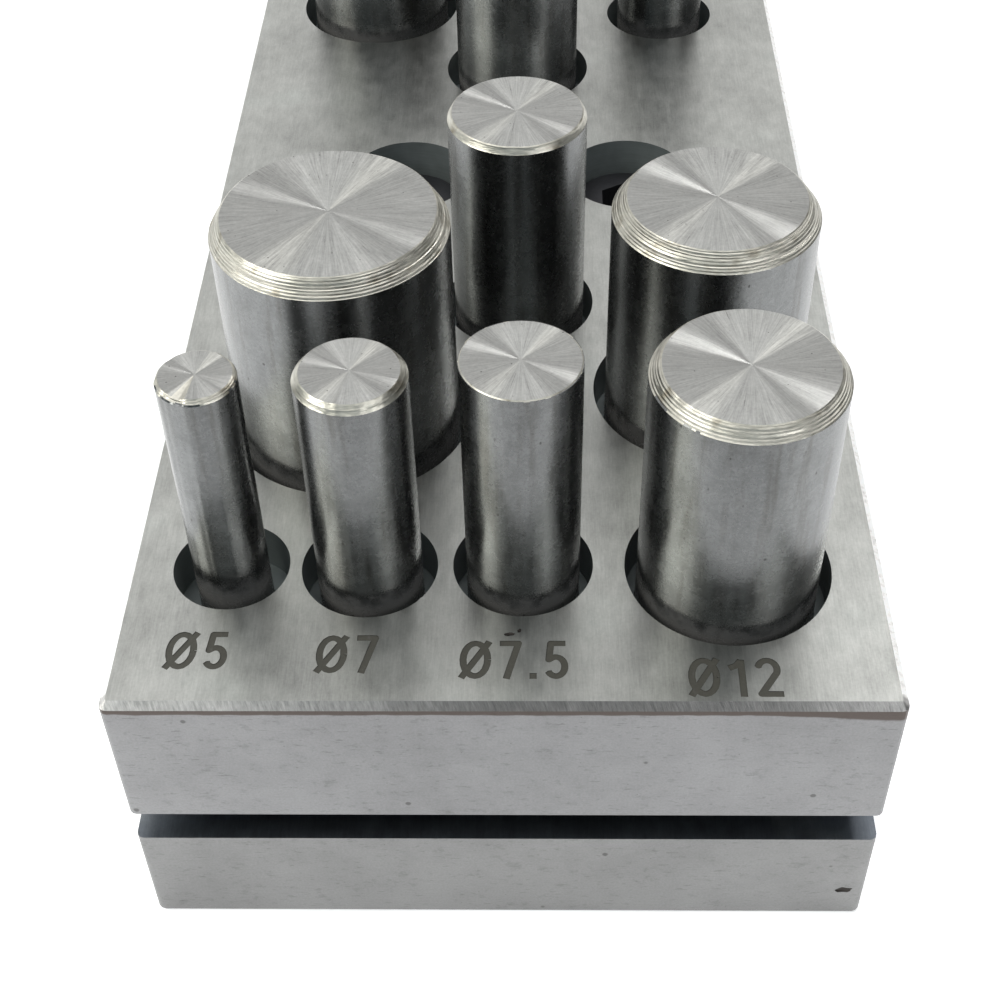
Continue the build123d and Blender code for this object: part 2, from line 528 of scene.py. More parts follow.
GROUND_TOP = GroundFace("ground plate top", (0.42, 0.425, 0.405, 1.0), 0.345)
# Painted shade: the level faces in the gap between the plates, and the die plate's base, are the
# ground steel painted dark and bluish, standing in for the shade in the gap.
SHADED_GAP_FACE = GroundFace("ground gap face painted shade", (0.14, 0.155, 0.175, 1.0), 0.4)
GUIDE_SIDE = PlateSide("guide plate side", (0.265, 0.265, 0.27, 1.0), 0.44, True)
DIE_SIDE = PlateSide("die plate side", (0.255, 0.255, 0.255, 1.0), 0.46, False)
FILED_EDGE = FiledEdge("filed edge", (0.85, 0.835, 0.82, 1.0), 0.45)
BORE_WALL = BoreWall("bore wall", (0.2, 0.225, 0.225, 1.0), 0.5)
ETCHED = EtchedMark("etched mark", (0.06, 0.058, 0.048, 1.0), 0.75)
# The punch side's base colour is kept at about half that of its turned face: painted shade for the
# dim surroundings that its sides reflect.
PUNCH_SIDE = PunchSide("punch side", (0.192, 0.197, 0.198, 1.0), 0.27, (0.122, 0.12, 0.114, 1.0))
PUNCH_FACE = TurnedFace("turned face", (0.405, 0.405, 0.39, 1.0), 0.34, 1.0, 0.25)
PUNCH_BEVEL = TurnedBevel("turned bevel", (0.54, 0.525, 0.465, 1.0), 0.36, (0.25, 0.22, 0.165, 1.0))
BLACK_OXIDE = PlainSteel("black oxide", (0.03, 0.03, 0.034, 1.0), 0.4, 0.7)
NICK_FLOOR = PlainSteel("nick floor", (0.05, 0.045, 0.042, 1.0), 0.5)
SPACER_STEEL = PlainSteel("spacer steel", (0.3, 0.3, 0.31, 1.0), 0.36)
DOWEL_STEEL = PlainSteel("dowel steel", (0.5, 0.5, 0.5, 1.0), 0.2)


# ---------------------------------------------------------------- shapes

SHARP_ANGLE = 24.0
WELD = 1e-7
TOUCHING = 1e-6
LEVEL_FACE = 0.9
ROUND_STEPS = 128
HIDDEN_STEPS = 64
OVERCUT = 1.0
DRILL_POINT = 0.6


def piece_from(
    name: str, mesh: bpy.types.Mesh, body: str, slot: str, *nodes: str
) -> bpy.types.Object:
    """Puts a finished mesh in the scene as a piece of the object.

    Args:
        name: The piece's name.
        mesh: Its mesh, already in place.
        body: The body that it moves with.
        slot: The record's material slot, which is not used.
        nodes: The design's nodes that it stands for.

    Returns:
        The piece.
    """
    mesh.name = name
    mesh.shade_smooth()
    mesh.set_sharp_from_angle(angle=math.radians(SHARP_ANGLE))
    shape = bmesh.new()
    shape.from_mesh(mesh)
    for edge in shape.edges:
        edge.smooth = edge.smooth and len({face.material_index for face in edge.link_faces}) < 2
    shape.to_mesh(mesh)
    shape.free()
    piece = bpy.data.objects.new(name, mesh)
    bpy.context.scene.collection.objects.link(piece)
    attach(piece, body)
    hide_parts(*nodes)
    log.info("%s: %d faces, moves with %s", name, len(mesh.polygons), body)
    return piece


def middle(node: str) -> Vector:
    """The middle of a node's box, in metres."""
    low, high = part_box(node)
    return (low + high) / 2


def turned(outline: Outline, centre: Vector, segments: int) -> bmesh.types.BMesh:
    """Spins an outline into a closed solid.

    Args:
        outline: Radii and heights in metres, from the axis and back to it.
        centre: A point on the axis, of which only X and Y count.
        segments: The steps around.

    Returns:
        The solid, with its faces outwards.
    """
    shape = bmesh.new()
    points = [shape.verts.new((centre.x + radius, centre.y, height)) for radius, height in outline]
    lines = [shape.edges.new(pair) for pair in zip(points, points[1:])]
    axis_point = Vector((centre.x, centre.y, 0.0))
    bmesh.ops.spin(
        shape,
        geom=points + lines,
        cent=axis_point,
        axis=(0.0, 0.0, 1.0),
        angle=math.tau,
        steps=segments,
        use_merge=True,
    )
    bmesh.ops.remove_doubles(shape, verts=shape.verts, dist=WELD)
    bmesh.ops.recalc_face_normals(shape, faces=shape.faces)
    return shape


def mesh_from(shape: bmesh.types.BMesh, *finishes: bpy.types.Material) -> bpy.types.Mesh:
    """Makes a mesh with its materials from a shape, and frees the shape."""
    mesh = bpy.data.meshes.new("shape")
    shape.to_mesh(mesh)
    shape.free()
    for finish in finishes:
        mesh.materials.append(finish)
    return mesh


def joined(meshes: list[bpy.types.Mesh]) -> bpy.types.Mesh:
    """Joins meshes into one that keeps the materials of all."""
    shape = bmesh.new()
    finishes: list[bpy.types.Material] = []
    for mesh in meshes:
        for finish in mesh.materials:
            if finish not in finishes:
                finishes.append(finish)
        first = len(shape.faces)
        shape.from_mesh(mesh)
        shape.faces.ensure_lookup_table()
        for face in shape.faces[first:]:
            face.material_index = finishes.index(mesh.materials[face.material_index])
    return mesh_from(shape, *finishes)


def cut(blank: bpy.types.Mesh, cutter: bpy.types.Mesh) -> bpy.types.Mesh:
    """Cuts one solid out of another, whose new walls take the cutter's materials.

    Args:
        blank: The solid that is cut.
        cutter: What is taken away.

    Returns:
        The result.
    """
    work = [bpy.data.objects.new("work", mesh) for mesh in (blank, cutter)]
    for item in work:
        bpy.context.scene.collection.objects.link(item)
    modifier = work[0].modifiers.new("cut", "BOOLEAN")
    modifier.operation = "DIFFERENCE"
    modifier.solver = "EXACT"
    modifier.material_mode = "TRANSFER"
    modifier.object = work[1]
    evaluated = work[0].evaluated_get(bpy.context.evaluated_depsgraph_get())
    result = bpy.data.meshes.new_from_object(evaluated)
    for item in work:
        bpy.data.objects.remove(item)
    shape = bmesh.new()
    shape.from_mesh(result)
    bmesh.ops.remove_doubles(shape, verts=shape.verts, dist=WELD)
    bmesh.ops.dissolve_degenerate(shape, edges=shape.edges, dist=WELD)
    shape.to_mesh(result)
    shape.free()
    return result


Spot = tuple[float, float]
Stroke = list[Spot]
ARC_STEPS = 20
STROKE_WIDTH = 0.145
LETTER_GAP = 0.17
LETTER_WELD = 1e-5


def arc(centre: Spot, reach: Spot, start: float, end: float) -> Stroke:
    """Points along part of an ellipse.

    Args:
        centre: Its middle.
        reach: Its half width and half height.
        start: The heading of the first point, in degrees.
        end: The heading of the last point.

    Returns:
        The points.
    """
    points = []
    for step in range(ARC_STEPS + 1):
        turn = math.radians(start + (end - start) * step / ARC_STEPS)
        across, up = reach[0] * math.cos(turn), reach[1] * math.sin(turn)
        points.append((centre[0] + across, centre[1] + up))
    return points


THREE = [arc((0.21, 0.71), (0.18, 0.22), 150.0, -90.0)]
THREE += [arc((0.21, 0.28), (0.2, 0.21), 90.0, -150.0)]
FIVE = [(0.42, 0.93), (0.12, 0.93), (0.08, 0.5)] + arc((0.22, 0.32), (0.18, 0.25), 125.0, -150.0)
SIX = [arc((0.25, 0.29), (0.18, 0.22), 0.0, 360.0), arc((0.34, 0.42), (0.27, 0.51), 80.0, 190.0)]


@dataclass(frozen=True)
class Glyph:
    """A character's width and strokes, where its height is 1."""

    width: float
    strokes: list[Stroke]


GLYPHS = {
    "Ø": Glyph(0.64, [arc((0.32, 0.5), (0.25, 0.43), 0.0, 360.0), [(0.04, 0.02), (0.6, 0.98)]]),
    "1": Glyph(0.36, [[(0.27, 0.0), (0.27, 0.95)], [(0.02, 0.73), (0.17, 0.8), (0.27, 0.93)]]),
    "2": Glyph(0.53, [arc((0.26, 0.7), (0.19, 0.23), 165.0, -25.0) + [(0.09, 0.07), (0.53, 0.07)]]),
    "3": Glyph(0.48, THREE),
    "4": Glyph(0.54, [[(0.36, 0.0), (0.36, 0.92), (0.07, 0.3), (0.54, 0.3)]]),
    "5": Glyph(0.46, [FIVE]),
    "6": Glyph(0.48, SIX),
    "7": Glyph(0.44, [[(0.0, 0.93), (0.38, 0.93), (0.14, 0.0)]]),
    "9": Glyph(0.48, [[(0.48 - x, 1.0 - y) for x, y in stroke] for stroke in SIX]),
    ".": Glyph(0.14, [[(0.07, 0.0), (0.07, 0.15)]]),
}


def lettered(text: str) -> bmesh.types.BMesh:
    """Flat lettering about the origin, of height 1.

    Args:
        text: What it says.

    Returns:
        Its faces, which meet without overlapping.
    """
    points: list[Vector] = []
    patches: list[list[int]] = []

    def add_patch(corners: list[Vector]) -> None:
        """Adds a patch, whose corners run anticlockwise."""
        patches.append(list(range(len(points), len(points) + len(corners))))
        points.extend(corners)

    half = STROKE_WIDTH / 2
    width = sum(GLYPHS[letter].width for letter in text) + LETTER_GAP * (len(text) - 1)
    start = -width / 2
    for letter in text:
        for stroke in GLYPHS[letter].strokes:
            line = [Vector((start + x, y - 0.5)) for x, y in stroke]
            for one, two in zip(line, line[1:]):
                side = (two - one).normalized().orthogonal() * half
                add_patch([one - side, two - side, two + side, one + side])
            for joint in line[1:-1]:
                turns = [math.tau * step / ARC_STEPS for step in range(ARC_STEPS)]
                ways = [Vector((math.cos(turn), math.sin(turn))) for turn in turns]
                add_patch([joint + way * half for way in ways])
        start += GLYPHS[letter].width + LETTER_GAP
    spots, _, faces, _, _, parents = geometry.delaunay_2d_cdt(points, [], patches, 1, LETTER_WELD)
    shape = bmesh.new()
    corners = [shape.verts.new((spot.x, spot.y, 0.0)) for spot in spots]
    for face, origin in zip(faces, parents):
        if origin:
            shape.faces.new([corners[corner] for corner in face])
    loose = [vertex for vertex in shape.verts if not vertex.link_faces]
    bmesh.ops.delete(shape, geom=loose, context="VERTS")
    inner = [edge for edge in shape.edges if len(edge.link_faces) == 2]
    bmesh.ops.dissolve_edges(shape, edges=inner, use_verts=False)
    return shape


@dataclass(frozen=True)
class SizeMark:
    """A diameter etched beside a hole.

    Attributes:
        text: What it says.
        across: Its middle, across from the block's centreline, in millimetres.
        inset: Its middle, from the block's end.
        rear: Whether it is at the rear end, where it reads from the back.
    """

    text: str
    across: float
    inset: float
    rear: bool = False

    def cutter(self, low: Vector, high: Vector, finish: bpy.types.Material) -> bpy.types.Mesh:
        """Makes the solid letters that cut the mark into a plate's top.

        Args:
            low: The plate's lowest corner.
            high: The plate's highest corner.
            finish: The material of the mark's floor.

        Returns:
            The letters.
        """
        shape = lettered(self.text)
        raised = bmesh.ops.extrude_face_region(shape, geom=shape.faces[:])["geom"]
        lifted = [item for item in raised if isinstance(item, bmesh.types.BMVert)]
        bmesh.ops.translate(shape, verts=lifted, vec=(0.0, 0.0, MARK_DEPTH + OVERCUT))
        bmesh.ops.recalc_face_normals(shape, faces=shape.faces)
        bmesh.ops.scale(shape, verts=shape.verts, vec=(MARK_HEIGHT * MM, MARK_HEIGHT * MM, MM))
        end = high.y - self.inset * MM if self.rear else low.y + self.inset * MM
        place = Matrix.Translation((self.across * MM, end, high.z - MARK_DEPTH * MM))
        turn = Matrix.Rotation(math.pi if self.rear else 0.0, 4, "Z")
        bmesh.ops.transform(shape, matrix=place @ turn, verts=shape.verts)
        return mesh_from(shape, finish)


MARK_HEIGHT = 3.1
MARK_DEPTH = 0.05
SIZE_MARKS = [
    SizeMark("Ø5", -19.4, 4.5),
    SizeMark("Ø7", -9.85, 4.2),
    SizeMark("Ø7.5", 0.7, 3.75),
    SizeMark("Ø12", 14.45, 2.35),
    SizeMark("Ø3", -19.0, 4.4, rear=True),
    SizeMark("Ø4", -9.4, 4.3, rear=True),
    SizeMark("Ø6", 1.0, 4.0, rear=True),
    SizeMark("Ø9", 14.6, 3.4, rear=True),
]


@dataclass(frozen=True)
class Nick:
    """A small dent knocked into a plate.

    Attributes:
        place: Its middle in millimetres, from the middle of the block's base.
        size: Its length, width and depth.
        lean: The way it runs, in degrees.
    """

    place: tuple[float, float, float]
    size: tuple[float, float, float]
    lean: float

    def cutter(self, finish: bpy.types.Material) -> bpy.types.Mesh:
        """The lump that cuts it."""
        shape = bmesh.new()
        bmesh.ops.create_icosphere(shape, subdivisions=2, radius=1.0)
        bmesh.ops.scale(shape, verts=shape.verts, vec=self.size)
        draw = random.Random(self.lean)
        for vertex in shape.verts:
            vertex.co *= draw.uniform(0.75, 1.15)
        turn = Matrix.Rotation(math.radians(self.lean), 4, "Z")
        bmesh.ops.transform(shape, matrix=Matrix.Translation(self.place) @ turn, verts=shape.verts)
        bmesh.ops.scale(shape, verts=shape.verts, vec=(MM, MM, MM))
        return mesh_from(shape, finish)


TOP_NICKS = [
    Nick((0.4, -52.15, 23.62), (0.38, 0.18, 0.1), 12.0),
    Nick((1.05, -51.85, 23.62), (0.2, 0.14, 0.08), 70.0),
]
FRONT_NICKS = [
    Nick((23.55, -58.03, 3.1), (0.72, 0.14, 0.34), -4.0),
]


@dataclass(frozen=True)
class Punch:
    """A loose punch: its finish, and the wear that tells it from the others.

    Attributes:
        node: The design's node, whose box gives its place and height.
        diameter: Its diameter in millimetres.
        ledge: The width of the ledge between its entry and its guide bore.
        bevel: The width of the bevel round its top.
        drop: The bevel's drop.
        ridges: The turned steps on the bevel.
        wear: How far the rim is knocked down at its worst.
        worn_towards: The heading of that worst place, in degrees from +X.
    """

    node: str
    diameter: float
    ledge: float
    bevel: float
    drop: float
    ridges: int
    wear: float = 0.02
    worn_towards: float = -100.0

    def outline(self) -> Outline:
        """The half outline in metres, from the cutting end up to the faced top."""
        low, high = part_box(self.node)
        radius = self.diameter / 2 * MM
        edge = CUTTING_EDGE * MM
        top_radius = radius - self.bevel * MM
        shoulder = high.z - self.drop * MM
        draw = random.Random(self.node)
        points = [(0.0, low.z), (radius - edge, low.z), (radius, low.z + edge)]
        for step in range(self.ridges):
            share = step / self.ridges
            valley = share + draw.uniform(0.3, 0.7) / self.ridges
            points.append((radius - self.bevel * MM * share, shoulder + self.drop * MM * share))
            sunk = draw.uniform(0.4, 1.0) * RIDGE_DEPTH * MM
            inwards, up = self.bevel * MM * valley, self.drop * MM * valley
            points.append((radius - inwards - sunk, shoulder + up - sunk))
        lip = RIM_LIP * MM
        points += [(top_radius + lip * LIP_OVERHANG, high.z - lip), (top_radius - lip, high.z)]
        points += [(PIP_RADIUS * MM, high.z), (0.0, high.z - PIP_DEPTH * MM)]
        return points

    def knock_rim(self, shape: bmesh.types.BMesh, centre: Vector, high: float) -> None:
        """Wears the rim down unevenly, mostly towards one side.

        Args:
            shape: The punch.
            centre: A point on its axis.
            high: The height of its top.
        """
        draw = random.Random(self.node).uniform(0.0, RIPPLE_SPREAD)
        inside = (self.diameter / 2 - self.bevel - 2 * RIM_LIP) * MM
        shoulder = high - self.drop * MM - TOUCHING
        heading = math.radians(self.worn_towards)
        worst = Vector((math.cos(heading), math.sin(heading)))
        for vertex in shape.verts:
            out = Vector((vertex.co.x - centre.x, vertex.co.y - centre.y))
            if vertex.co.z <= shoulder or out.length <= inside:
                continue
            facing = max(0.0, out.normalized().dot(worst)) ** WEAR_FOCUS
            ripple = noise.noise(Vector((out.x, out.y, draw * MM)) / (RIPPLE_LENGTH * MM))
            knock = max(0.0, self.wear * MM * (WEAR_ALL_ROUND + facing) * (0.5 + ripple))
            vertex.co.z -= knock * WEAR_DOWN
            vertex.co.xy -= out.normalized() * knock * WEAR_INWARDS

    def build(self) -> bpy.types.Object:
        """Makes the punch."""
        low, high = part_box(self.node)
        centre = middle(self.node)
        shape = turned(self.outline(), centre, ROUND_STEPS)
        self.knock_rim(shape, centre, high.z)
        top_radius = (self.diameter / 2 - self.bevel - 2 * RIM_LIP) * MM
        for face in shape.faces:
            spot = face.calc_center_median()
            out = (spot.xy - centre.xy).length
            faced_top = spot.z > high.z - PIP_DEPTH * MM and out < top_radius
            if faced_top or spot.z < low.z + CUTTING_EDGE * MM / 2:
                face.material_index = 1
            elif spot.z > high.z - self.drop * MM + TOUCHING:
                face.material_index = 2
        finishes = (PUNCH_SIDE, PUNCH_FACE, PUNCH_BEVEL)
        mesh = mesh_from(shape, *(finish.material() for finish in finishes))
        offset = random.Random(self.node).uniform(0.0, TURNING_SPREAD)
        places = mesh.attributes.new(TURNING, "FLOAT_VECTOR", "POINT")
        for vertex, item in zip(mesh.vertices, places.data):
            local = (vertex.co - Vector((centre.x, centre.y, 0.0))) / MM
            item.vector = local + Vector((0.0, 0.0, offset))
        name = self.node.replace("dia_", "steel_")
        return piece_from(name, mesh, self.node, "punch_steel", self.node)


CUTTING_EDGE = 0.03
RIM_LIP = 0.06
LIP_OVERHANG = 0.4
RIDGE_DEPTH = 0.035
PIP_RADIUS = 0.14
PIP_DEPTH = 0.05
RIPPLE_LENGTH = 0.6
RIPPLE_SPREAD = 50.0
TURNING_SPREAD = 400.0
WEAR_FOCUS = 6
WEAR_ALL_ROUND = 0.25
WEAR_DOWN = 0.8
WEAR_INWARDS = 0.6
PUNCHES = [
    Punch("punch_dia_5", 5.0, 1.38, 0.19, 0.38, 2, wear=0.28, worn_towards=-112.0),
    Punch("punch_dia_7", 7.0, 1.02, 0.4, 0.52, 2, wear=0.08, worn_towards=-95.0),
    Punch("punch_dia_7_5", 7.5, 0.88, 0.06, 0.06, 1, wear=0.03),
    Punch("punch_dia_12", 12.0, 0.8, 0.68, 0.9, 5, wear=0.06, worn_towards=-140.0),
    Punch("punch_dia_16", 16.0, 0.95, 0.8, 1.25, 7),
    Punch("punch_dia_14", 14.0, 0.85, 0.93, 1.2, 7),
    Punch("punch_dia_10", 10.0, 0.75, 0.28, 0.5, 2),
    Punch("punch_dia_11", 11.0, 1.0, 0.4, 0.6, 3),
    Punch("punch_dia_13", 13.0, 1.0, 0.7, 0.9, 4),
    Punch("punch_dia_8", 8.0, 1.0, 0.3, 0.4, 2),
    Punch("punch_dia_3", 3.0, 1.2, 0.12, 0.2, 1),
    Punch("punch_dia_4", 4.0, 1.2, 0.15, 0.3, 1, wear=0.06),
    Punch("punch_dia_6", 6.0, 1.0, 0.3, 0.4, 2),
    Punch("punch_dia_9", 9.0, 0.9, 0.35, 0.5, 2),
]


@dataclass
class GuidePlate:
    """The upper plate, with a stepped hole for each punch, two screw holes and the size marks."""

    node: str = "upper_guide_plate"
    corner_break: float = 0.5
    edge_break: float = TOP_EDGE_BREAK
    guide_clearance: float = 0.05
    entry_depth: float = 3.5
    screw_shank_room: float = 0.25
    screw_thread: float = 5.0
    screw_head_room: float = 5.1
    screw_head_depth: float = 7.5
    dowel_radius: float = 2.02
    dowel_depth: float = 7.0

    def blank(self) -> bpy.types.Mesh:
        """The plate before its holes are cut."""
        low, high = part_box(self.node)
        shape = block_blank(low, high, self.corner_break)
        rim = [e for e in shape.edges if all(v.co.z > high.z - WELD for v in e.verts)]
        for face in bevelled(shape, rim, self.edge_break, 1):
            face.material_index = 2
        for face in shape.faces:
            if abs(face.normal.z) > LEVEL_FACE:
                face.material_index = 0 if face.normal.z > 0 else 3
            elif face.material_index != 2:
                face.material_index = 1
        finishes = (GROUND_TOP, GUIDE_SIDE, FILED_EDGE, SHADED_GAP_FACE)
        return mesh_from(shape, *(finish.material() for finish in finishes))

    def cutters(self) -> list[bpy.types.Mesh]:
        """Everything that is cut out of the plate."""
        low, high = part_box(self.node)
        over = OVERCUT * MM
        made = []
        for punch in PUNCHES:
            guide = (punch.diameter / 2 + self.guide_clearance) * MM
            entry = (punch.diameter / 2 + punch.ledge) * MM
            ledge = high.z - self.entry_depth * MM
            outline = stepped(low.z - over, high.z + over, guide, ledge, entry)
            made.append(bored(outline, middle(punch.node)))
        for side in Side:
            screw = middle(f"clamp_screw_{side.value}")
            shank = (self.screw_thread / 2 + self.screw_shank_room) * MM
            seat = high.z - self.screw_head_depth * MM
            outline = stepped(low.z - over, high.z + over, shank, seat, self.screw_head_room * MM)
            made.append(bored(outline, screw))
            dowel = middle(f"dowel_pin_{side.value}")
            end = low.z + self.dowel_depth * MM
            radius = self.dowel_radius * MM
            outline = [(0.0, low.z - over), (radius, low.z - over), (radius, end)]
            outline.append((0.0, end + radius * DRILL_POINT))
            made.append(bored(outline, dowel, HIDDEN_STEPS))
        made += [mark.cutter(low, high, ETCHED.material()) for mark in SIZE_MARKS]
        return made + [nick.cutter(NICK_FLOOR.material()) for nick in TOP_NICKS]

    def build(self) -> bpy.types.Object:
        """Makes the plate."""
        mesh = cut(self.blank(), joined(self.cutters()))
        return piece_from("guide_plate", mesh, "block", "ground_plate_steel", self.node)


@dataclass
class DiePlate:
    """The lower plate, with a sharp-edged die hole for each punch."""

    node: str = "lower_die_plate"
    corner_break: float = 0.5
    base_edge_break: float = 0.4
    die_clearance: float = 0.04
    screw_radius: float = 2.55
    dowel_radius: float = 2.02

    def blank(self) -> bpy.types.Mesh:
        """The plate before its holes are cut."""
        low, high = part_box(self.node)
        shape = block_blank(low, high, self.corner_break)
        rim = [e for e in shape.edges if all(v.co.z < low.z + WELD for v in e.verts)]
        bevelled(shape, rim, self.base_edge_break, 2)
        for face in shape.faces:
            face.material_index = 0 if abs(face.normal.z) > LEVEL_FACE else 1
        return mesh_from(shape, SHADED_GAP_FACE.material(), DIE_SIDE.material())

    def cutters(self) -> list[bpy.types.Mesh]:
        """Everything that is cut out of the plate."""
        low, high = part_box(self.node)
        holes = [(middle(punch.node), punch.diameter / 2 + self.die_clearance) for punch in PUNCHES]
        for side in Side:
            holes.append((middle(f"clamp_screw_{side.value}"), self.screw_radius))
            holes.append((middle(f"dowel_pin_{side.value}"), self.dowel_radius))
        made = []
        for centre, radius in holes:
            bottom, top = low.z - OVERCUT * MM, high.z + OVERCUT * MM
            outline = [(0.0, bottom), (radius * MM, bottom), (radius * MM, top), (0.0, top)]
            made.append(bored(outline, centre))
        return made + [nick.cutter(NICK_FLOOR.material()) for nick in FRONT_NICKS]

    def build(self) -> bpy.types.Object:
        """Makes the plate."""
        mesh = cut(self.blank(), joined(self.cutters()))
        return piece_from("die_plate", mesh, "block", "die_plate_steel", self.node)


def block_blank(low: Vector, high: Vector, corner_break: float) -> bmesh.types.BMesh:
    """A plain block with its upright corners broken.

    Args:
        low: Its lowest corner in metres.
        high: Its highest corner.
        corner_break: The width of the broken corners in millimetres.

    Returns:
        The block.
    """
    shape = bmesh.new()
    bmesh.ops.create_cube(shape, size=1.0)
    bmesh.ops.scale(shape, verts=shape.verts, vec=high - low)
    bmesh.ops.translate(shape, verts=shape.verts, vec=(low + high) / 2)
    upright = [e for e in shape.edges if abs(e.verts[0].co.z - e.verts[1].co.z) > WELD]
    bevelled(shape, upright, corner_break, 3)
    return shape


def bevelled(
    shape: bmesh.types.BMesh, edges: list[bmesh.types.BMEdge], width: float, steps: int
) -> list[bmesh.types.BMFace]:
    """Bevels edges.

    Args:
        shape: The shape.
        edges: The edges.
        width: The bevel's width on each side in millimetres.
        steps: Its steps, where 1 is a flat chamfer.

    Returns:
        The new faces.
    """
    made = bmesh.ops.bevel(
        shape,
        geom=edges,
        offset=width * MM,
        offset_type="OFFSET",
        segments=steps,
        profile=0.5,
        affect="EDGES",
        material=-1,
        clamp_overlap=True,
    )
    shape.normal_update()
    return made["faces"]


def stepped(bottom: float, top: float, lower: float, ledge: float, upper: float) -> Outline:
    """The outline of a stepped hole, with its lower and upper radius each side of the ledge."""
    walls = [(lower, bottom), (lower, ledge), (upper, ledge), (upper, top)]
    return [(0.0, bottom), *walls, (0.0, top)]


def bored(outline: Outline, centre: Vector, steps: int = ROUND_STEPS) -> bpy.types.Mesh:
    """The solid that cuts a round hole, whose walls take the finish of a bore."""
    return mesh_from(turned(outline, centre, steps), BORE_WALL.material())


class Side(Enum):
    """The two sides of the block."""

    LEFT = "left"
    RIGHT = "right"


@dataclass
class ClampScrews:
    """The two socket-head screws that hold the plates together."""

    head_radius: float = 4.25
    head_height: float = 5.0
    head_edge: float = 0.5
    thread_radius: float = 2.5
    socket_width: float = 4.0
    socket_depth: float = 2.5
    tip_edge: float = 0.6
    knurls: int = 36
    knurl_depth: float = 0.12
    pitch: float = 0.8
    thread_depth: float = 0.4
    runout: float = 2.2

    def outline(self, low: float, high: float) -> Outline:
        """The half outline, with the thread as rings of its pitch."""
        seat = high - self.head_height * MM
        radius = self.thread_radius * MM
        core = radius - self.thread_depth * MM
        points = [(0.0, low), (radius - self.tip_edge * MM, low)]
        height = low + self.tip_edge * MM
        while height < seat - self.runout * self.pitch * MM:
            points.append((radius, height))
            points.append((core, height + self.pitch * MM / 2))
            height += self.pitch * MM
        head = self.head_radius * MM
        edge = self.head_edge * MM
        points += [(radius, height), (radius, seat)]
        points += [(head - edge / 3, seat), (head, seat + edge / 3)]
        points += [(head, high - edge), (head - edge * 0.3, high - edge * 0.3)]
        points += [(head - edge, high), (0.0, high)]
        return points

    def build(self) -> list[bpy.types.Object]:
        """Makes both screws."""
        made = []
        for side in Side:
            node = f"clamp_screw_{side.value}"
            low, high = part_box(node)
            centre = middle(node)
            shape = turned(self.outline(low.z, high.z), centre, self.knurls * 4)
            self.knurl(shape, centre, high.z)
            socket = bmesh.new()
            bmesh.ops.create_cone(
                socket,
                cap_ends=True,
                segments=6,
                radius1=self.socket_width / math.sqrt(3) * MM,
                radius2=self.socket_width / math.sqrt(3) * MM,
                depth=self.socket_depth * 2 * MM,
                matrix=Matrix.Translation((centre.x, centre.y, high.z)),
            )
            head, hollow = (mesh_from(solid, BLACK_OXIDE.material()) for solid in (shape, socket))
            name = f"socket_screw_{side.value}"
            made.append(piece_from(name, cut(head, hollow), "block", "blackened_screw_steel", node))
        return made

    def knurl(self, shape: bmesh.types.BMesh, centre: Vector, high: float) -> None:
        """Cuts upright knurling into the head's side."""
        for vertex in shape.verts:
            out = vertex.co.xy - centre.xy
            if out.length > (self.head_radius - SIDE_TOLERANCE) * MM:
                turn = math.atan2(out.y, out.x) * self.knurls
                depth = self.knurl_depth * MM * (0.5 - 0.5 * math.cos(turn))
                vertex.co.xy = centre.xy + out * (1 - depth / out.length)


SIDE_TOLERANCE = 0.01


def dress_node(node: str, finish: bpy.types.Material) -> None:
    """Gives a design node that is kept a better material."""
    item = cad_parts[node]
    for place in item.material_slots:
        place.material = finish
    log.info("%s: kept from the design, finished as %s", node, finish.name)


# ---------------------------------------------------------------- studio


@dataclass(frozen=True)
class Softbox:
    """A soft studio light.

    Attributes:
        name: Its name.
        heading: Where it stands, in degrees from +X towards +Y, seen from the block.
        height: How high it stands, in degrees above the horizon.
        distance: How far off it stands, in metres.
        size: Its width and height in metres.
        brightness: How bright its face looks.
        tint: Its colour.
    """

    name: str
    heading: float
    height: float
    distance: float
    size: tuple[float, float]
    brightness: float
    tint: tuple[float, float, float] = (1.0, 1.0, 1.0)

    def place(self, target: Vector) -> None:
        """Sets the light up, facing a point."""
        light = bpy.data.lights.new(self.name, "AREA")
        light.shape = "RECTANGLE"
        light.color = self.tint
        light.size, light.size_y = self.size
        light.energy = self.brightness * self.size[0] * self.size[1] * AREA_LIGHT_WATTS
        heading, height = math.radians(self.heading), math.radians(self.height)
        level = math.cos(height)
        towards = Vector((math.cos(heading) * level, math.sin(heading) * level, math.sin(height)))
        stand = bpy.data.objects.new(self.name, light)
        stand.location = target + towards * self.distance
        stand.rotation_euler = towards.to_track_quat("Z", "Y").to_euler()
        stand.visible_camera = False
        bpy.context.scene.collection.objects.link(stand)


AREA_LIGHT_WATTS = 4.0


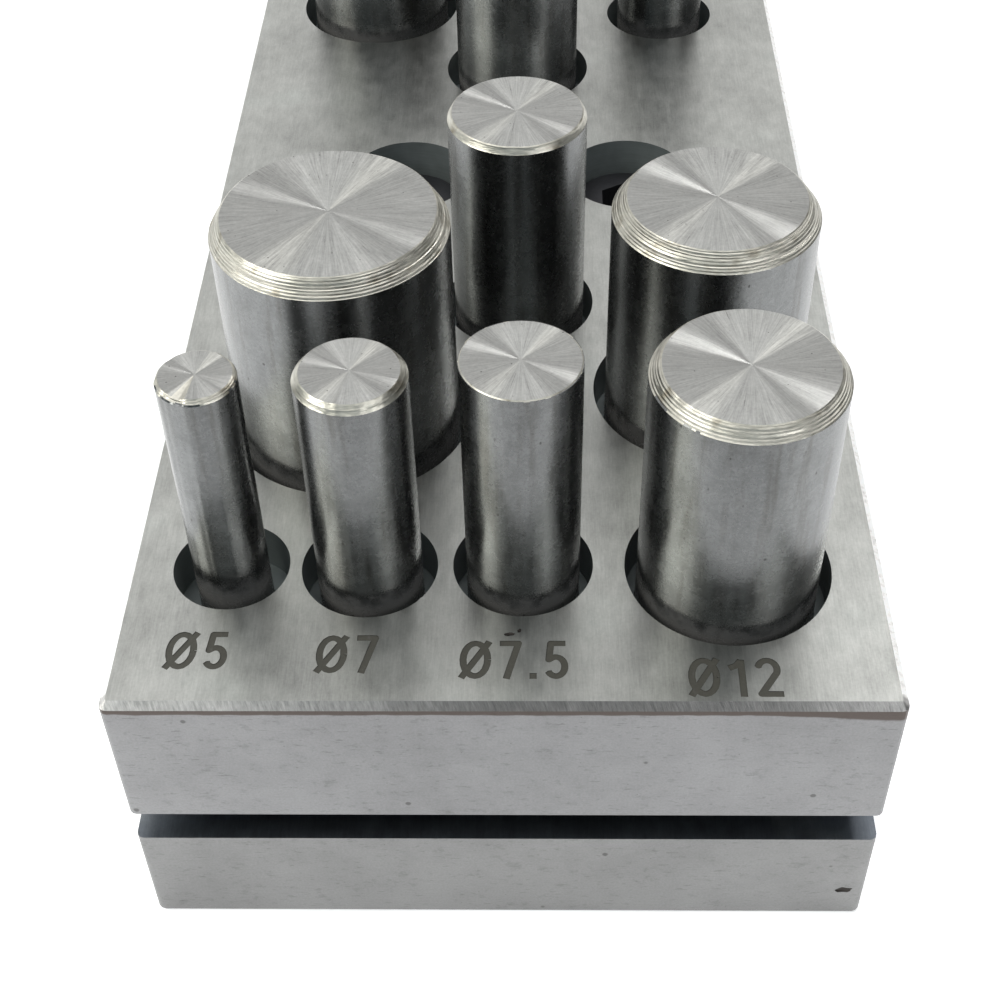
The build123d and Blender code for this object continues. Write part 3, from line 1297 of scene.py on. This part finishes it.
@dataclass
class Studio:
    """The floor, the light and the camera."""

    floor_width: float = 4.0
    floor_colour: Colour = (0.93, 0.93, 0.935, 1.0)
    floor_glow: float = 0.5
    painted_shadow_colour: Colour = (0.55, 0.55, 0.56, 1.0)
    lens: float = 58.84
    shift_up: float = 0.03065
    camera_place: tuple[float, float, float] = (2.19, -120.23, 102.62)
    camera_heading: float = 1.861
    camera_tilt: float = 44.39
    camera_roll: float = -1.41

    def lay_floor(self) -> None:
        """Lays the pale floor, with a painted shadow in front of the block, where only reflections
        show it.
        """
        shape = bmesh.new()
        bmesh.ops.create_grid(shape, x_segments=1, y_segments=1, size=self.floor_width / 2)
        graph = Graph(bpy.data.materials.new("studio floor"))
        place = graph.place()
        # Painted shadow: the floor is darker, and glows less, in front of the block from its middle
        # to the right, where only reflections show it.
        painted_shadow = place.part("Y").step(-76.0, -92.0) * place.part("X").step(-60.0, -20.0)
        colour = graph.join(painted_shadow, self.floor_colour, self.painted_shadow_colour)
        glow = {"Emission_Color": colour, "Emission_Strength": self.floor_glow}
        mesh = mesh_from(shape, graph.surface(colour, 0.9, Specular_IOR_Level=0.0, **glow))
        floor = bpy.data.objects.new("studio_floor", mesh)
        bpy.context.scene.collection.objects.link(floor)

    def light(self) -> None:
        """Lights the studio: a surround that is brightest behind the block, and soft lights."""
        scene = bpy.context.scene
        world = bpy.data.worlds.new("studio surround")
        scene.world = world
        graph = Graph(world)
        ways = graph.add("ShaderNodeTexCoord", {}, {}, "Generated")
        sockets = {"Vector": ways, "Vector_001": SURROUND_BRIGHT_SIDE}
        facing = graph.add("ShaderNodeVectorMath", {"operation": "DOT_PRODUCT"}, sockets, "Value")
        stops, along = {"stops": SURROUND_STOPS}, {"Fac": facing * 0.5 + 0.5}
        glow = graph.add("ShaderNodeValToRGB", stops, along, "Color")
        flagged = ways.part("X").step(0.35, 0.6) * 0.7
        back = graph.add("ShaderNodeBackground", {}, {"Color": graph.shade(1 - flagged, glow)})
        graph.add("ShaderNodeOutputWorld", {}, {"Surface": back})
        for softbox in SOFTBOXES:
            softbox.place(Vector(LIGHT_TARGET) * MM)
        scene.view_settings.view_transform = "Standard"

    def set_camera(self) -> None:
        """Sets the camera up."""
        camera = bpy.data.cameras.new("camera")
        camera.lens = self.lens
        camera.shift_y = self.shift_up
        camera.clip_start = 0.005
        stand = bpy.data.objects.new("camera", camera)
        turn = Matrix.Rotation(math.radians(self.camera_heading), 4, "Z")
        turn @= Matrix.Rotation(math.radians(self.camera_tilt), 4, "X")
        turn @= Matrix.Rotation(math.radians(self.camera_roll), 4, "Z")
        stand.matrix_world = Matrix.Translation(Vector(self.camera_place) * MM) @ turn
        bpy.context.scene.collection.objects.link(stand)
        bpy.context.scene.camera = stand


LIGHT_TARGET = (0.0, -30.0, 30.0)
SURROUND_BRIGHT_SIDE = (0.0, 0.70, 0.71)
SURROUND_STOPS = [
    (0.0, (0.16, 0.2, 0.22, 1.0)),
    (0.45, (0.125, 0.17, 0.19, 1.0)),
    (0.7, (0.47, 0.5, 0.5, 1.0)),
    (0.92, grey(1.0)),
]
SOFTBOXES = [
    Softbox("key softbox", 49.6, 46.8, 0.9, (0.12, 0.12), 14.5),
    Softbox("overhead softbox", 90.0, 82.0, 1.2, (0.8, 0.8), 1.0),
    Softbox("left softbox", -162.0, 42.0, 1.1, (0.55, 0.6), 5.0, (1.0, 0.985, 0.92)),
    Softbox("right fill", -45.0, 39.0, 1.1, (0.4, 0.4), 4.0),
    Softbox("front fill", -95.0, 40.0, 1.1, (0.5, 0.4), 0.6),
]


def main() -> None:
    """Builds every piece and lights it."""
    logging.basicConfig(level=logging.INFO, format="%(message)s")
    studio = Studio()
    studio.set_camera()
    GuidePlate().build()
    DiePlate().build()
    for punch in PUNCHES:
        punch.build()
    ClampScrews().build()
    for side in Side:
        dress_node(f"spacer_ring_{side.value}", SPACER_STEEL.material())
        dress_node(f"dowel_pin_{side.value}", DOWEL_STEEL.material())
    studio.lay_floor()
    studio.light()


if __name__ == "__main__":
    main()
